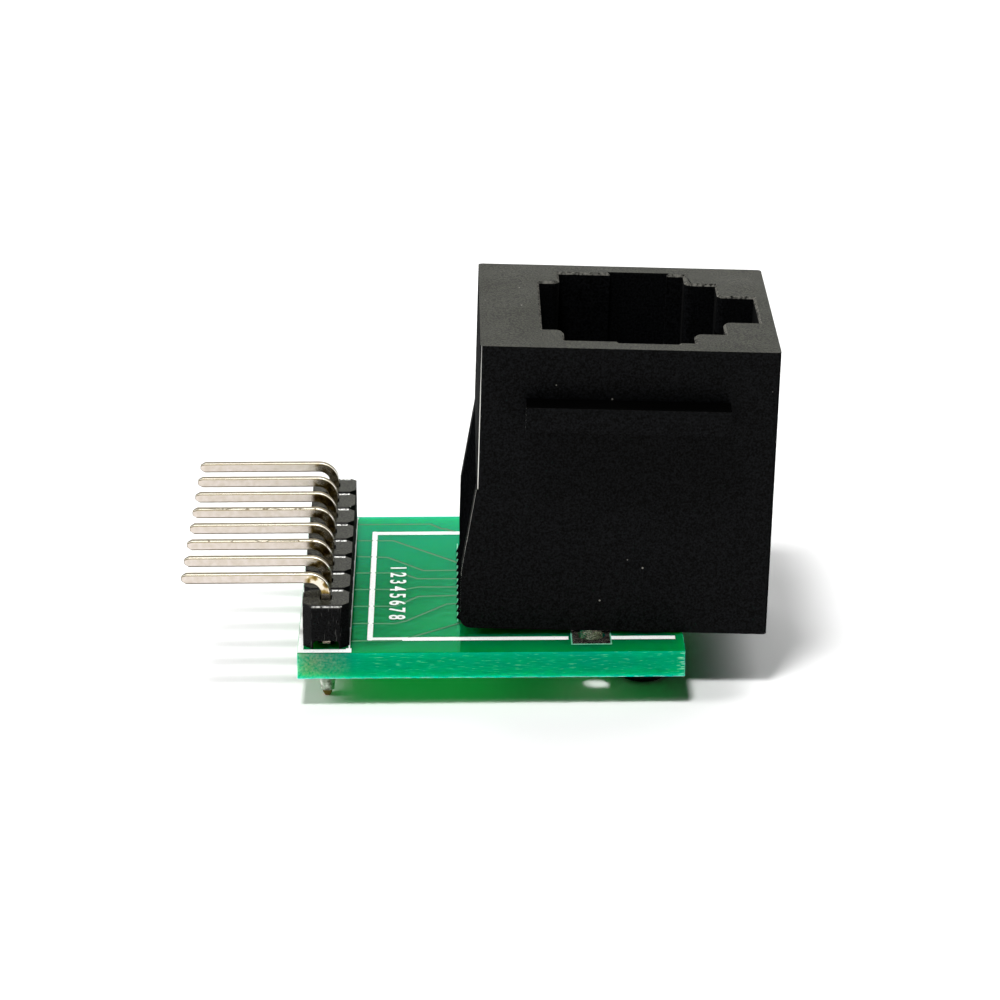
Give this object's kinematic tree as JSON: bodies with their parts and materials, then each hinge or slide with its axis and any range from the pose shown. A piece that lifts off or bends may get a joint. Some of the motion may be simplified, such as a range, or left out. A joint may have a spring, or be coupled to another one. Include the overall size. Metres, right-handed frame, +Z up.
{
  "type": "rj45 board jack",
  "caption": "Top-entry modular jack with a stepped latch opening, comb of wire contacts and locating pegs, on a small breakout board with a right-angle pin header.",
  "frame": {"origin": "under the middle of the whole part's box, on the surface that it stands on", "axes": "+X from the header to the jack, +Y along the header row, +Z up out of the board's top"},
  "size_m": [0.0322, 0.021, 0.0197],
  "materials": {
    "circuit_board": "green solder mask over glass-fibre laminate",
    "header_plastic": "black moulded plastic",
    "header_metal": "bright plated copper alloy",
    "housing_plastic": "black moulded plastic, finely rough",
    "carrier_plastic": "black moulded plastic",
    "contact_metal": "gold-plated spring wire",
    "solder": "bright solder"
  },
  "bodies": {
    "root": {"board": "circuit_board", "header_insulator": "header_plastic", "header_pin_1": "header_metal", "header_pin_2": "header_metal", "header_pin_3": "header_metal", "header_pin_4": "header_metal", "header_pin_5": "header_metal", "header_pin_6": "header_metal", "header_pin_7": "header_metal", "header_pin_8": "header_metal", "jack_housing": "housing_plastic", "contact_carrier": "carrier_plastic", "jack_contact_1": "contact_metal", "jack_contact_2": "contact_metal", "jack_contact_3": "contact_metal", "jack_contact_4": "contact_metal", "jack_contact_5": "contact_metal", "jack_contact_6": "contact_metal", "jack_contact_7": "contact_metal", "jack_contact_8": "contact_metal", "header_solder_1": "solder", "header_solder_2": "solder", "header_solder_3": "solder", "header_solder_4": "solder", "header_solder_5": "solder", "header_solder_6": "solder", "header_solder_7": "solder", "header_solder_8": "solder", "contact_solder_1": "solder", "contact_solder_2": "solder", "contact_solder_3": "solder", "contact_solder_4": "solder", "contact_solder_5": "solder", "contact_solder_6": "solder", "contact_solder_7": "solder", "contact_solder_8": "solder"}
  },
  "joints": []
}
